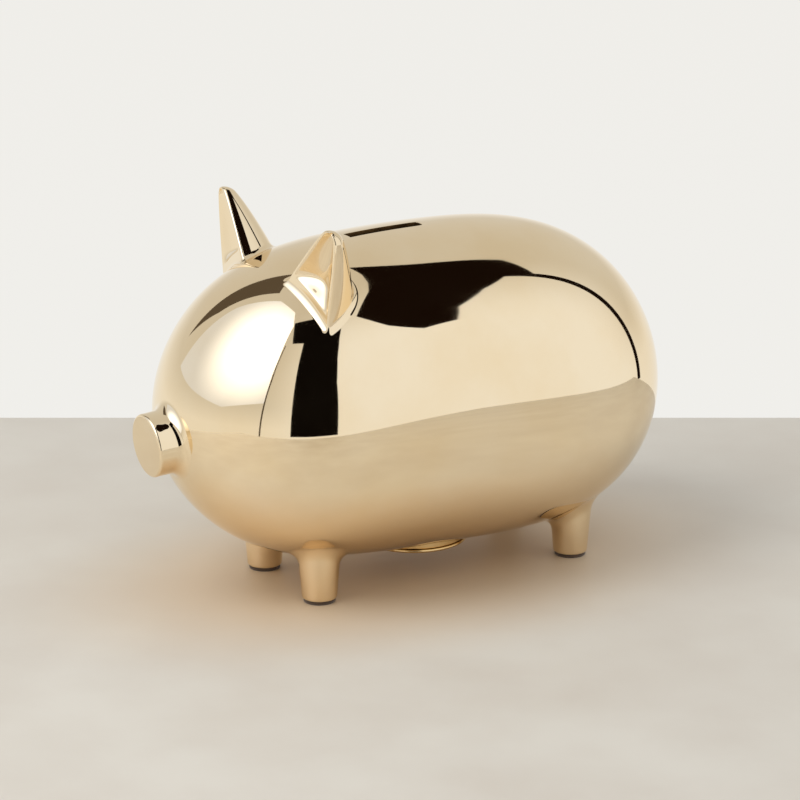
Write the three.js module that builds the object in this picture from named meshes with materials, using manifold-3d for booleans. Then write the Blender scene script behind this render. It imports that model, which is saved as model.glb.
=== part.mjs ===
// A polished metal coin bank in the figure of a pig.
// Millimetres, +Z up. The pig faces -Y, and its left side is +X.
// The origin lies on the table, under the middle of the bank's overall box.

import * as THREE from "three";
import { mergeVertices } from "three/addons/utils/BufferGeometryUtils.js";
import Module from "manifold-3d";

const wasm = await Module();
wasm.setup();

// ---------------------------------------------------------------- driving dimensions

// Gap left between pieces that are brazed or seated together.
const jointGap = 0.3;

// Body: a hollow egg of round sections strung on a gently arched centre line along Y.
const bodyLength = 191;
const girthRadius = 57.9;
const bodyWall = 3;
const bellyClearance = 8.6;
const archDrop = 3.2;
const archCrownY = -12.8;
const headBluntness = 0.067;
const outlineTerms = { taper: -0.142, fullness: 0.092, shoulder: -0.034, flank: -0.023 };

// Girth seam, where the two shells are brazed together over a backing ring, behind the belly port.
const seamBehindPort = 2;
const ringWidth = 10;
const ringThickness = 2;

// Coin slot, along the back.
const slotLength = 30;
const slotWidth = 5;
const slotCornerRadius = 1;
const slotCentreY = -9.7;

// Snout: a plain turned disc on the head.
const snoutRadius = 11.1;
const snoutReach = 7.3;
const snoutDrop = 5;
const snoutPitch = THREE.MathUtils.degToRad(4.5);
const snoutEdge = 0.8;
const snoutBaseFlare = 1.4;
const snoutTenonRadius = 5;

// Ears: cupped leaves that stand on the brow.
const earHeight = 28.9;
const earHalfWidth = 12.5;
const earDepth = 16.5;
const earFlare = 2;
const earFlareHeight = 7;
const earTipRadius = 2.4;
const earRim = 2.6;
const earDishDepth = 5;
const earDishBase = 3.5;
const earSetback = 41.8;
const earRoll = THREE.MathUtils.degToRad(32);
const earTurn = THREE.MathUtils.degToRad(9);
const earSplay = THREE.MathUtils.degToRad(26);
const earTenonRadius = 3.5;

// Feet: turned tapered stubs, each on a thin pad.
const frontFeet = { halfTrack: 20.4, y: -47 };
const rearFeet = { halfTrack: 22.4, y: 55.7 };
const footToeRadius = 6.25;
const footTopRadius = 8.5;
const footEdge = 0.8;
const footTenonRadius = 4;
const padRadius = 5.6;
const padThickness = 1;

// Tenons reach this far past the inside of the wall.
const tenonReach = 1.5;

// Belly port: a turned collar that the stopper plugs.
const portY = 2.7;
const portRadius = 15;
const collarRadius = 19.5;
const collarLip = 1.5;

// Stopper: a metal cap with a rubber bung, held by a washer and a screw from inside.
const capProud = 0.2;
const capThickness = 1.6;
const capEdge = 0.6;
const nailGroove = 1;
const seatGap = 0.3;
const bungClearance = 0.3;
const bungLeadIn = 0.8;
const bossRadius = 4.5;
const bossShortfall = 1.5;
const washerRadius = 11;
const washerThickness = 1.2;
const screwRadius = 2;
const screwHeadRadius = 3.8;
const screwHeadHeight = 2.4;
const screwFloor = 1;
const screwClearance = 0.15;

// Facets.
const bodySides = 48;
const bodySteps = 26;
const innerSides = 32;
const innerSteps = 18;
const turnedSides = 24;
const collarSides = 40;
const earSides = 28;
const earSteps = 9;

// ---------------------------------------------------------------- finishes

const polishedBrass = { color: 0xe6cf9c, roughness: 0.08, metalness: 1 };
const insideBrass = { color: 0xb89a5e, roughness: 0.45, metalness: 1 };
const zincSteel = { color: 0xb9bcc0, roughness: 0.35, metalness: 1 };
const bungRubber = { color: 0x2a2826, roughness: 0.8, metalness: 0 };
const padFelt = { color: 0x4a3a2c, roughness: 0.95, metalness: 0 };

// ---------------------------------------------------------------- solids

// A closed geometry as a solid that can be joined and cut.
function solidOf(geometry) {
  const bare = new THREE.BufferGeometry();
  bare.setAttribute("position", geometry.getAttribute("position"));
  bare.setIndex(geometry.index);
  const merged = mergeVertices(bare, 1e-4);
  const corners = Array.from(merged.index.array);
  const triangles = [];
  for (let i = 0; i < corners.length; i += 3) {
    const [a, b, c] = corners.slice(i, i + 3);
    if (a !== b && b !== c && c !== a) triangles.push(a, b, c);
  }
  return new wasm.Manifold(
    new wasm.Mesh({
      numProp: 3,
      vertProperties: merged.attributes.position.array,
      triVerts: new Uint32Array(triangles),
    }),
  );
}

// A solid as a flat-shaded geometry.
function geometryOf(solid) {
  const mesh = solid.getMesh();
  const positions = new Float32Array(mesh.numVert * 3);
  for (let i = 0; i < mesh.numVert; i += 1) {
    const start = i * mesh.numProp;
    positions.set(mesh.vertProperties.subarray(start, start + 3), i * 3);
  }
  const indexed = new THREE.BufferGeometry();
  indexed.setAttribute("position", new THREE.BufferAttribute(positions, 3));
  indexed.setIndex(new THREE.BufferAttribute(mesh.triVerts, 1));
  const geometry = indexed.toNonIndexed();
  geometry.computeVertexNormals();
  return geometry;
}

// A turned piece: [radius, height] pairs from the bottom of the outline to its top, spun round Z.
function turned(outline, sides = turnedSides) {
  const points = outline.map(([radius, height]) => new THREE.Vector2(radius, height));
  return new THREE.LatheGeometry(points, sides).rotateX(Math.PI / 2);
}

// A plain cylinder along Z between two heights.
function rod(radius, low, high, sides = turnedSides) {
  return turned([[0, low], [radius, low], [radius, high], [0, high]], sides);
}

// A big block that keeps everything on one side of a plane across Y.
function sideOfSeam(edgeY, direction) {
  const size = 2 * bodyLength + 4 * girthRadius;
  const block = new THREE.BoxGeometry(size, size, size);
  return solidOf(block.translate(0, edgeY + (direction * size) / 2, 0));
}

// ---------------------------------------------------------------- body shape

// Radius of the body's round section before scaling, at the angle t from head (0) to rump (pi).
function plainRadius(t) {
  const { taper, fullness, shoulder, flank } = outlineTerms;
  const shape =
    1 +
    taper * Math.cos(t) +
    fullness * Math.cos(2 * t) +
    shoulder * Math.cos(3 * t) +
    flank * Math.cos(4 * t);
  return Math.sin(t) * shape;
}

// The angle of the fullest section, found on a fine row of samples.
const outlineSamples = Array.from({ length: 721 }, (_, i) => (Math.PI * i) / 720);
const girthAngle = outlineSamples.reduce((best, t) => (plainRadius(t) > plainRadius(best) ? t : best));
const radiusScale = girthRadius / plainRadius(girthAngle);

// Half of the body's outline as a curve of (radius, y).
class BodyOutline extends THREE.Curve {
  getPoint(u, target = new THREE.Vector2()) {
    const t = Math.PI * u;
    const y = (-bodyLength / 2) * (Math.cos(t) + headBluntness * Math.sin(t) ** 2);
    return target.set(radiusScale * plainRadius(t), y);
  }

  // The point at the same place on a surface set in from this one, or out where inset is negative.
  getInsetPoint(u, inset) {
    const tangent = this.getTangent(u);
    const point = this.getPoint(u);
    const onAxis = u === 0 || u === 1;
    return new THREE.Vector2(onAxis ? 0 : point.x - inset * tangent.y, point.y + inset * tangent.x);
  }
}

const outline = new BodyOutline();
const headY = outline.getPoint(0).y;
const seamY = portY + collarRadius + jointGap + seamBehindPort + ringWidth / 2;

// Fall of the arched centre line below its crown.
function archFall(y) {
  return archDrop * ((y - archCrownY) / (bodyLength / 2)) ** 2;
}

// The crown of the centre line stands so high that the belly's lowest point has its clearance.
const lowestBelly = Math.min(
  ...outlineSamples.map((t) => {
    const point = outline.getPoint(t / Math.PI);
    return -archFall(point.y) - point.x;
  }),
);
const crownHeight = bellyClearance - lowestBelly;

// Height of the centre line at y.
function axisHeight(y) {
  return crownHeight - archFall(y);
}

// Radius of the inset body surface at y, found by halving.
function radiusAt(y, inset) {
  let low = 0;
  let high = 1;
  for (let i = 0; i < 40; i += 1) {
    const middle = (low + high) / 2;
    if (outline.getInsetPoint(middle, inset).y < y) low = middle;
    else high = middle;
  }
  return outline.getInsetPoint(low, inset).x;
}

// Height of the inset belly surface over the table at a place in plan.
function bellyHeight(x, y, inset) {
  return axisHeight(y) - Math.sqrt(radiusAt(y, inset) ** 2 - x ** 2);
}

// The solid inside the body surface set in by a distance, or grown where inset is negative.
function bodySolid(inset, sides = bodySides, steps = bodySteps) {
  const points = [];
  for (let i = 0; i <= steps; i += 1) points.push(outline.getInsetPoint(i / steps, inset));
  const geometry = new THREE.LatheGeometry(points, sides);
  const position = geometry.getAttribute("position");
  for (let i = 0; i < position.count; i += 1) {
    position.setZ(i, position.getZ(i) + axisHeight(position.getY(i)));
  }
  return solidOf(geometry);
}

const grownBody = bodySolid(-jointGap);

// ---------------------------------------------------------------- places of what stands on the body

// Frame of the snout: origin at its face, Z pointing out of the face.
const snoutFrame = new THREE.Matrix4()
  .makeRotationX(Math.PI / 2 + snoutPitch)
  .setPosition(0, headY - snoutReach, axisHeight(headY) - snoutDrop);

// Frame of an ear: origin at the foot of its face on the brow, Z up the leaf, -Y out of the dish.
function earFrame(side) {
  const y = headY + earSetback;
  const radius = radiusAt(y, 0);
  const turn = new THREE.Euler(0, side * earSplay, side * earTurn, "ZYX");
  return new THREE.Matrix4()
    .makeRotationFromEuler(turn)
    .setPosition(
      side * radius * Math.sin(earRoll),
      y,
      axisHeight(y) + radius * Math.cos(earRoll),
    );
}

// Tenons: [radius, low, high] of a cylinder along Z in each piece's own frame.
const snoutTenon = {
  radius: snoutTenonRadius,
  low: -snoutReach - bodyWall - 2 * tenonReach,
  high: -snoutEdge - 1,
};
const earTenon = {
  radius: earTenonRadius,
  low: -earDepth / 3 - bodyWall - tenonReach,
  high: earDishBase,
};

function footTenon({ halfTrack, y }) {
  return {
    radius: footTenonRadius,
    low: padThickness + footEdge,
    high: bellyHeight(halfTrack, y, bodyWall) + tenonReach,
  };
}

// A tenon as a solid in the bank's frame, grown by a clearance where it cuts its hole.
function tenonSolid({ radius, low, high }, frame, clearance = 0) {
  const geometry = rod(radius + clearance, low - clearance, high + clearance);
  return solidOf(geometry.applyMatrix4(frame));
}

const earTenonShift = new THREE.Matrix4().makeTranslation(0, earDepth / 2, 0);

function earTenonFrame(side) {
  return earFrame(side).multiply(earTenonShift);
}

const feet = [
  { name: "front_left_foot", side: 1, ...frontFeet },
  { name: "front_right_foot", side: -1, ...frontFeet },
  { name: "rear_left_foot", side: 1, ...rearFeet },
  { name: "rear_right_foot", side: -1, ...rearFeet },
];

function footFrame({ side, halfTrack, y }) {
  return new THREE.Matrix4().makeTranslation(side * halfTrack, y, 0);
}

// ---------------------------------------------------------------- belly port heights

const capBottom = bellyHeight(0, portY, 0) - capProud;
const capTop = capBottom + capThickness;
const collarBottom = capTop + seatGap;
const collarTop = bellyHeight(collarRadius, portY, bodyWall) + collarLip;
const portFrame = new THREE.Matrix4().makeTranslation(0, portY, 0);

// ---------------------------------------------------------------- shells and backing ring

function slotCutter() {
  const halfWidth = slotWidth / 2;
  const halfLength = slotLength / 2;
  const corner = Math.min(slotCornerRadius, halfWidth);
  const shape = new THREE.Shape();
  shape.absarc(halfWidth - corner, halfLength - corner, corner, 0, Math.PI / 2);
  shape.absarc(corner - halfWidth, halfLength - corner, corner, Math.PI / 2, Math.PI);
  shape.absarc(corner - halfWidth, corner - halfLength, corner, Math.PI, 1.5 * Math.PI);
  shape.absarc(halfWidth - corner, corner - halfLength, corner, 1.5 * Math.PI, 2 * Math.PI);
  const settings = { depth: 2 * girthRadius, bevelEnabled: false, curveSegments: 3 };
  const geometry = new THREE.ExtrudeGeometry(shape, settings);
  return solidOf(geometry.translate(0, slotCentreY, crownHeight));
}

function portCutter() {
  const geometry = rod(collarRadius + jointGap, 0, crownHeight / 2, collarSides);
  return solidOf(geometry.applyMatrix4(portFrame));
}

const cutters = [
  slotCutter(),
  portCutter(),
  tenonSolid(snoutTenon, snoutFrame, jointGap),
  tenonSolid(earTenon, earTenonFrame(1), jointGap),
  tenonSolid(earTenon, earTenonFrame(-1), jointGap),
  ...feet.map((foot) => tenonSolid(footTenon(foot), footFrame(foot), jointGap)),
];

// A solid with every opening of the bank cut through it.
function pierced(solid) {
  return cutters.reduce((rest, cutter) => rest.subtract(cutter), solid);
}

function shellSolid(direction) {
  const inside = bodySolid(bodyWall, innerSides, innerSteps);
  const wall = pierced(bodySolid(0).subtract(inside));
  return wall.intersect(sideOfSeam(seamY + (direction * jointGap) / 2, direction));
}

function backingRingSolid() {
  const outside = bodySolid(bodyWall + 2 * jointGap, innerSides, 2 * innerSteps);
  const inside = bodySolid(bodyWall + 2 * jointGap + ringThickness, innerSides, 2 * innerSteps);
  const band = outside
    .subtract(inside)
    .intersect(sideOfSeam(seamY - ringWidth / 2, 1))
    .intersect(sideOfSeam(seamY + ringWidth / 2, -1));
  return pierced(band);
}

// ---------------------------------------------------------------- snout, ears and feet

function snoutSolid() {
  const root = -snoutReach - snoutDrop - snoutRadius;
  const geometry = turned(
    [
      [0, root],
      [snoutRadius + snoutBaseFlare, root],
      [snoutRadius + snoutBaseFlare, -snoutReach - snoutBaseFlare],
      [snoutRadius, -snoutReach / 2],
      [snoutRadius, -snoutEdge],
      [snoutRadius - snoutEdge, 0],
      [0, 0],
    ],
    2 * turnedSides,
  );
  const disc = solidOf(geometry.applyMatrix4(snoutFrame)).subtract(grownBody);
  return disc.add(tenonSolid(snoutTenon, snoutFrame));
}

// Half width of the leaf at a height over its foot: a pointed arch with a round tip. The outer
// leaf flares where it meets the brow, and the dish, which is trimmed smaller, does not.
function leafHalfWidth(height, trim) {
  const flank = (earHalfWidth - trim) * (1 - Math.max(height, 0) / earHeight) ** 0.8;
  const tip = earTipRadius ** 2 - Math.max(height - earHeight + earTipRadius, 0) ** 2;
  const leaf = Math.min(
    flank + earTipRadius * (height / earHeight),
    flank + Math.sqrt(Math.max(tip, 0)),
  );
  const flare = Math.max(1 - Math.max(height, 0) / earFlareHeight, 0);
  return trim > 0 ? leaf : leaf + earFlare * flare ** 2;
}

// The leaf spun round Z, from a height up to its tip, and flattened front to back.
function leafGeometry(from, trim, depth) {
  const top = earHeight - trim;
  const points = [[0, from]];
  for (let i = 0; i <= earSteps; i += 1) {
    const height = from + (top - from) * Math.sin((Math.PI / 2) * (i / earSteps));
    const atTip = i === earSteps;
    points.push([atTip ? 0 : leafHalfWidth(height + trim * (height / top), trim), height]);
  }
  return turned(points, earSides).scale(1, depth / (earHalfWidth - trim), 1);
}

function earSolid(side) {
  const root = -earHalfWidth / 2;
  const leaf = solidOf(leafGeometry(root, 0, earDepth));
  const behindFace = sideOfSeam(0, 1);
  const dish = solidOf(leafGeometry(earDishBase, earRim, earDishDepth));
  const cupped = geometryOf(leaf.intersect(behindFace).subtract(dish));
  const standing = solidOf(cupped.applyMatrix4(earFrame(side))).subtract(grownBody);
  return standing.add(tenonSolid(earTenon, earTenonFrame(side)));
}

function footSolid(foot) {
  const top = bellyHeight(foot.halfTrack, foot.y, 0) + footTopRadius;
  const geometry = turned([
    [0, padThickness],
    [footToeRadius - footEdge, padThickness],
    [footToeRadius, padThickness + footEdge],
    [footTopRadius, top],
    [0, top],
  ]);
  const stub = solidOf(geometry.applyMatrix4(footFrame(foot))).subtract(grownBody);
  return stub.add(tenonSolid(footTenon(foot), footFrame(foot)));
}

// ---------------------------------------------------------------- port collar and stopper

function collarGeometry() {
  return turned(
    [
      [portRadius, collarBottom],
      [collarRadius, collarBottom],
      [collarRadius, collarTop],
      [portRadius, collarTop],
      [portRadius, collarBottom],
    ],
    collarSides,
  );
}

const bossTop = collarTop - bossShortfall;

function capGeometry() {
  const bore = screwRadius + screwClearance;
  return turned(
    [
      [0, capBottom],
      [collarRadius - capEdge, capBottom],
      [collarRadius, capBottom + capEdge],
      [collarRadius - nailGroove, capTop],
      [bossRadius, capTop],
      [bossRadius, bossTop],
      [bore, bossTop],
      [bore, capBottom + screwFloor],
      [0, capBottom + screwFloor],
    ],
    collarSides,
  );
}

function bungGeometry() {
  const outside = portRadius - bungClearance;
  const inside = bossRadius + jointGap;
  return turned(
    [
      [inside, capTop],
      [outside, capTop],
      [outside, collarTop - bungLeadIn],
      [outside - bungLeadIn, collarTop],
      [inside, collarTop],
      [inside, capTop],
    ],
    collarSides,
  );
}

function washerGeometry() {
  const bore = screwRadius + screwClearance;
  const washerTop = collarTop + washerThickness;
  return turned([
    [bore, collarTop],
    [washerRadius, collarTop],
    [washerRadius, washerTop],
    [bore, washerTop],
    [bore, collarTop],
  ]);
}

function screwGeometry() {
  const headBottom = collarTop + washerThickness;
  const tip = capBottom + screwFloor + jointGap;
  return turned([
    [0, tip],
    [screwRadius, tip],
    [screwRadius, headBottom],
    [screwHeadRadius, headBottom],
    [screwHeadRadius, headBottom + screwHeadHeight / 2],
    [screwHeadRadius / 2, headBottom + screwHeadHeight],
    [0, headBottom + screwHeadHeight],
  ]);
}

// ---------------------------------------------------------------- assembly

function addPiece(parent, name, geometry, finish) {
  const mesh = new THREE.Mesh(geometry, new THREE.MeshStandardMaterial(finish));
  mesh.name = name;
  parent.add(mesh);
  return mesh;
}

const pig = new THREE.Group();
addPiece(pig, "front_shell", geometryOf(shellSolid(-1)), polishedBrass);
addPiece(pig, "rear_shell", geometryOf(shellSolid(1)), polishedBrass);
addPiece(pig, "girth_backing_ring", geometryOf(backingRingSolid()), insideBrass);
addPiece(pig, "snout", geometryOf(snoutSolid()), polishedBrass);
addPiece(pig, "left_ear", geometryOf(earSolid(1)), polishedBrass);
addPiece(pig, "right_ear", geometryOf(earSolid(-1)), polishedBrass);

for (const foot of feet) {
  addPiece(pig, foot.name, geometryOf(footSolid(foot)), polishedBrass);
  const pad = addPiece(pig, foot.name + "_pad", rod(padRadius, 0, padThickness), padFelt);
  pad.position.set(foot.side * foot.halfTrack, foot.y, 0);
}

const port = new THREE.Group();
port.position.y = portY;
pig.add(port);
addPiece(port, "port_collar", collarGeometry(), polishedBrass);
addPiece(port, "stopper_cap", capGeometry(), polishedBrass);
addPiece(port, "stopper_bung", bungGeometry(), bungRubber);
addPiece(port, "stopper_washer", washerGeometry(), zincSteel);
addPiece(port, "stopper_screw", screwGeometry(), zincSteel);

// Centre the overall box over the origin.
const bank = new THREE.Group();
bank.add(pig);
pig.position.y = -new THREE.Box3().setFromObject(bank).getCenter(new THREE.Vector3()).y;

export default bank;
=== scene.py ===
"""Looks of a polished brass coin bank in the figure of a pig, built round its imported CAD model.

Metres, +Z up. The pig faces -Y and its left side is +X. The body's skin follows the same formula as
the CAD part, and everything that stands on it runs out into it in fillets.
"""

import logging
import math
from dataclasses import dataclass, field
from enum import Enum
from functools import cache
from typing import Callable, Iterable, Sequence

import bmesh
import bpy
from mathutils import Matrix, Vector


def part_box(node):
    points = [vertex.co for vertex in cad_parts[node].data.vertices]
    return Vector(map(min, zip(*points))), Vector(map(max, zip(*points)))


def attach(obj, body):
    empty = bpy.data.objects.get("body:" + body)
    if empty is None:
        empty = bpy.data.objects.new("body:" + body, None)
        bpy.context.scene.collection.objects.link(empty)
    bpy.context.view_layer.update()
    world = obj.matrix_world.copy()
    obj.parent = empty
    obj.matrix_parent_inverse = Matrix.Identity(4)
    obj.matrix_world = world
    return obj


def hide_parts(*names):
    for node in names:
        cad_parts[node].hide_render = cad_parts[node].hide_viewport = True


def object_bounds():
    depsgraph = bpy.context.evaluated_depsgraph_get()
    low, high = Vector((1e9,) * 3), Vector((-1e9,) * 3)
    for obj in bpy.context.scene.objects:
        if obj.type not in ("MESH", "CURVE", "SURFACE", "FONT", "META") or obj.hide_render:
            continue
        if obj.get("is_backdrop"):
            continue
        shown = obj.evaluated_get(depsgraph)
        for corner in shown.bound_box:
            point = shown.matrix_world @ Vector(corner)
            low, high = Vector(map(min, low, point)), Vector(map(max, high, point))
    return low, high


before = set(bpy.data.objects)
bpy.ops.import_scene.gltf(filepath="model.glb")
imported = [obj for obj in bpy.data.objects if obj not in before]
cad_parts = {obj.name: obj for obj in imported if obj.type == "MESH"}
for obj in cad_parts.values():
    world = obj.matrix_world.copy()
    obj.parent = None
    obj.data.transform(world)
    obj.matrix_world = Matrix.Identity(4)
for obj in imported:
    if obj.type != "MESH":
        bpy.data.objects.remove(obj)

LOG = logging.getLogger("pig_bank")
MM = 0.001

Outline = Sequence[tuple[float, float]]
Place = Callable[[float, float], Vector]


@cache
def cad_box(node: str) -> tuple[Vector, Vector]:
    """Lowest and highest corner of a CAD node, measured once."""
    low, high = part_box(node)
    return Vector(low), Vector(high)


# ------------------------------------------------------------------ colours and nodes


def linear(hex_code: str) -> tuple[float, float, float, float]:
    """Turns an sRGB hex colour into linear light.

    Args:
        hex_code: six hex digits, with or without a leading hash.

    Returns:
        Red, green, blue and an alpha of one.
    """
    digits = hex_code.lstrip("#")
    parts = [int(digits[i : i + 2], 16) / 255 for i in (0, 2, 4)]
    red, green, blue = (p / 12.92 if p <= 0.04045 else ((p + 0.055) / 1.055) ** 2.4 for p in parts)
    return red, green, blue, 1.0


def add_node(
    tree: bpy.types.NodeTree,
    kind: str,
    settings: dict[str, object] | None = None,
    inputs: dict[str | int, object] | None = None,
) -> bpy.types.Node:
    """Adds a node, sets it up and links it.

    Args:
        tree: the tree that gets the node.
        kind: the node's type name without its ShaderNode prefix.
        settings: attributes to set on the node itself.
        inputs: socket names or numbers, each with a value, or with an output socket to link from.

    Returns:
        The new node.
    """
    node = tree.nodes.new("ShaderNode" + kind)
    for name, value in (settings or {}).items():
        setattr(node, name, value)
    for socket, value in (inputs or {}).items():
        if isinstance(value, bpy.types.NodeSocket):
            tree.links.new(value, node.inputs[socket])
        else:
            node.inputs[socket].default_value = value
    return node


def cleared_tree(owner: bpy.types.ID) -> bpy.types.NodeTree:
    """Gives a material or a world an empty tree of its own."""
    owner.use_nodes = True
    owner.node_tree.nodes.clear()
    return owner.node_tree


def ramp(
    tree: bpy.types.NodeTree,
    source: bpy.types.NodeSocket,
    stops: dict[float, str],
) -> bpy.types.NodeSocket:
    """Adds a colour ramp.

    Args:
        tree: the tree that gets the ramp.
        source: the value that runs along the ramp.
        stops: hex colours by their place on the ramp, at least two.

    Returns:
        The ramp's colour socket.
    """
    node = add_node(tree, "ValToRGB", inputs={"Fac": source})
    elements = node.color_ramp.elements
    for place in sorted(stops)[1:-1]:
        elements.new(place)
    for element, place in zip(elements, sorted(stops)):
        element.position = place
        element.color = linear(stops[place])
    return node.outputs["Color"]


def grain(
    tree: bpy.types.NodeTree,
    size: float,
    detail: float = 3.0,
    stretch: Vector | None = None,
) -> bpy.types.NodeSocket:
    """Adds noise on object coordinates with a real grain size.

    Args:
        tree: the tree that gets the noise.
        size: distance from one lump of the pattern to the next, in metres.
        detail: how much finer structure is laid over it.
        stretch: scale along each axis before the noise is read.

    Returns:
        The noise's value socket.
    """
    place = add_node(tree, "TexCoord").outputs["Object"]
    if stretch is not None:
        place = add_node(tree, "Mapping", inputs={"Vector": place, "Scale": stretch}).outputs["Vector"]
    noise = add_node(tree, "TexNoise", inputs={"Vector": place, "Scale": 1 / size, "Detail": detail})
    return noise.outputs[0]


def lay_skin(
    tree: bpy.types.NodeTree,
    shader: bpy.types.Node,
    pattern: bpy.types.NodeSocket,
    colours: dict[float, str],
    roughness: tuple[float, float],
    relief: tuple[bpy.types.NodeSocket, float, float],
) -> None:
    """Lets one pattern drive a finish's colour and sheen, and raises a relief on it.

    Args:
        tree: the material's tree.
        shader: the shader to dress.
        pattern: noise, which mostly lies between 0.3 and 0.7.
        colours: hex colours by their place on the pattern.
        roughness: the roughness at 0.3 and at 0.7 of the pattern.
        relief: the height's socket, its depth in metres and its strength.
    """
    low, high = roughness
    limits = {"From Min": 0.3, "From Max": 0.7, "To Min": low, "To Max": high}
    sheen = add_node(tree, "MapRange", inputs={"Value": pattern, **limits})
    height, depth, strength = relief
    bump = add_node(tree, "Bump", inputs={"Height": height, "Distance": depth, "Strength": strength})
    tree.links.new(ramp(tree, pattern, colours), shader.inputs["Base Color"])
    tree.links.new(sheen.outputs["Result"], shader.inputs["Roughness"])
    tree.links.new(bump.outputs["Normal"], shader.inputs["Normal"])


# ------------------------------------------------------------------ finishes


@dataclass(frozen=True)
class Finish:
    """A finish that becomes one procedural material."""

    name: str

    def dress(self, tree: bpy.types.NodeTree, shader: bpy.types.Node) -> None:
        """Sets and links the shader's sockets; each finish has its own."""
        raise NotImplementedError

    def material(self) -> bpy.types.Material:
        """Builds the material once and finds it again after that.

        Returns:
            The finish as a material.
        """
        known = bpy.data.materials.get(self.name)
        if known is not None:
            return known
        made = bpy.data.materials.new(self.name)
        tree = cleared_tree(made)
        shader = add_node(tree, "BsdfPrincipled")
        self.dress(tree, shader)
        add_node(tree, "OutputMaterial", inputs={"Surface": shader.outputs["BSDF"]})
        return made


@dataclass(frozen=True)
class MirrorBrass(Finish):
    """Cast brass, ground and buffed on a cloth wheel until it mirrors, then lacquered.

    The eye sees the room in it, tinted champagne, with faint haze where the wheel has dwelt.
    """

    tint: str = "#FAE8C8"
    worn_tint: str = "#F6E0BA"
    roughness: float = 0.022
    haze: float = 0.05
    haze_size: float = 34 * MM
    wheel_size: float = 9 * MM
    wheel_height: float = 0.003 * MM

    def dress(self, tree: bpy.types.NodeTree, shader: bpy.types.Node) -> None:
        """Lays haze into the roughness and the wheel's soft waves into the bump."""
        haze = grain(tree, self.haze_size, 4.0)
        rubs = grain(tree, 6 * MM, 5.0, Vector((1.0, 0.35, 1.0)))
        mixed = add_node(tree, "Math", {"operation": "MULTIPLY"}, {0: haze, 1: rubs}).outputs[0]
        rough = add_node(
            tree,
            "MapRange",
            inputs={
                "Value": mixed,
                "From Min": 0.12,
                "From Max": 0.42,
                "To Min": self.roughness,
                "To Max": self.haze,
            },
        )
        waves = grain(tree, self.wheel_size, 1.0)
        bump = add_node(
            tree, "Bump", inputs={"Height": waves, "Distance": self.wheel_height, "Strength": 1.0}
        )
        shader.inputs["Metallic"].default_value = 1.0
        tree.links.new(ramp(tree, haze, {0.35: self.tint, 0.7: self.worn_tint}), shader.inputs["Base Color"])
        tree.links.new(rough.outputs["Result"], shader.inputs["Roughness"])
        tree.links.new(bump.outputs["Normal"], shader.inputs["Normal"])


@dataclass(frozen=True)
class RawBrass(Finish):
    """Brass as cast and scraped, never buffed, on the inside of the bank.

    The eye sees a dull brown-gold skin that is pitted and unevenly oxidised.
    """

    bright: str = "#5E4629"
    dark: str = "#2C1D10"

    def dress(self, tree: bpy.types.NodeTree, shader: bpy.types.Node) -> None:
        """Mottles the oxide and pits the skin."""
        mottle = grain(tree, 7 * MM, 5.0)
        pits = grain(tree, 1.2 * MM, 4.0)
        shader.inputs["Metallic"].default_value = 1.0
        colours = {0.35: self.dark, 0.65: self.bright}
        lay_skin(tree, shader, mottle, colours, (0.62, 0.42), (pits, 0.12 * MM, 0.7))


@dataclass(frozen=True)
class TurnedBrass(Finish):
    """Brass faced off on a lathe and lightly buffed, round an upright axis.

    The eye sees fine rings that draw the reflections out along the radius.
    """

    centre_y: float
    tint: str = "#F3DAA8"
    dark: str = "#D9B67A"
    ring_pitch: float = 0.8 * MM

    def dress(self, tree: bpy.types.NodeTree, shader: bpy.types.Node) -> None:
        """Cuts rings round the axis and varies the sheen along them."""
        place = add_node(tree, "TexCoord").outputs["Object"]
        centred = add_node(tree, "Mapping", inputs={"Vector": place, "Location": (0, -self.centre_y, 0)})
        rings = add_node(
            tree,
            "TexWave",
            {"wave_type": "RINGS", "rings_direction": "Z"},
            {
                "Vector": centred.outputs["Vector"],
                "Scale": math.tau / 20 / self.ring_pitch,
                "Distortion": 0.4,
                "Detail": 2.0,
            },
        ).outputs["Fac"]
        haze = grain(tree, 12 * MM, 4.0)
        shader.inputs["Metallic"].default_value = 1.0
        colours = {0.3: self.dark, 0.6: self.tint}
        lay_skin(tree, shader, haze, colours, (0.1, 0.2), (rings, 0.01 * MM, 0.6))


@dataclass(frozen=True)
class ZincPlate(Finish):
    """Mild steel with bright zinc plating.

    The eye sees a cool grey metal with a faint crystalline mottle.
    """

    bright: str = "#C9CDD2"
    dark: str = "#9CA1A8"

    def dress(self, tree: bpy.types.NodeTree, shader: bpy.types.Node) -> None:
        """Mottles the plating."""
        spangle = grain(tree, 1.5 * MM, 3.0)
        shader.inputs["Metallic"].default_value = 1.0
        colours = {0.35: self.dark, 0.65: self.bright}
        lay_skin(tree, shader, spangle, colours, (0.24, 0.38), (spangle, 0.01 * MM, 0.4))


@dataclass(frozen=True)
class MouldedRubber(Finish):
    """Natural rubber, compression moulded and filled with carbon black.

    The eye sees a nearly black matt skin with a fine tooth and a grey bloom.
    """

    black: str = "#211E1C"
    bloom: str = "#3B3733"

    def dress(self, tree: bpy.types.NodeTree, shader: bpy.types.Node) -> None:
        """Lays the bloom and the mould's fine tooth."""
        bloom = grain(tree, 5 * MM, 4.0)
        tooth = grain(tree, 0.5 * MM, 2.0)
        shader.inputs["IOR"].default_value = 1.52
        colours = {0.4: self.black, 0.75: self.bloom}
        lay_skin(tree, shader, bloom, colours, (0.55, 0.75), (tooth, 0.03 * MM, 0.5))


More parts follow.
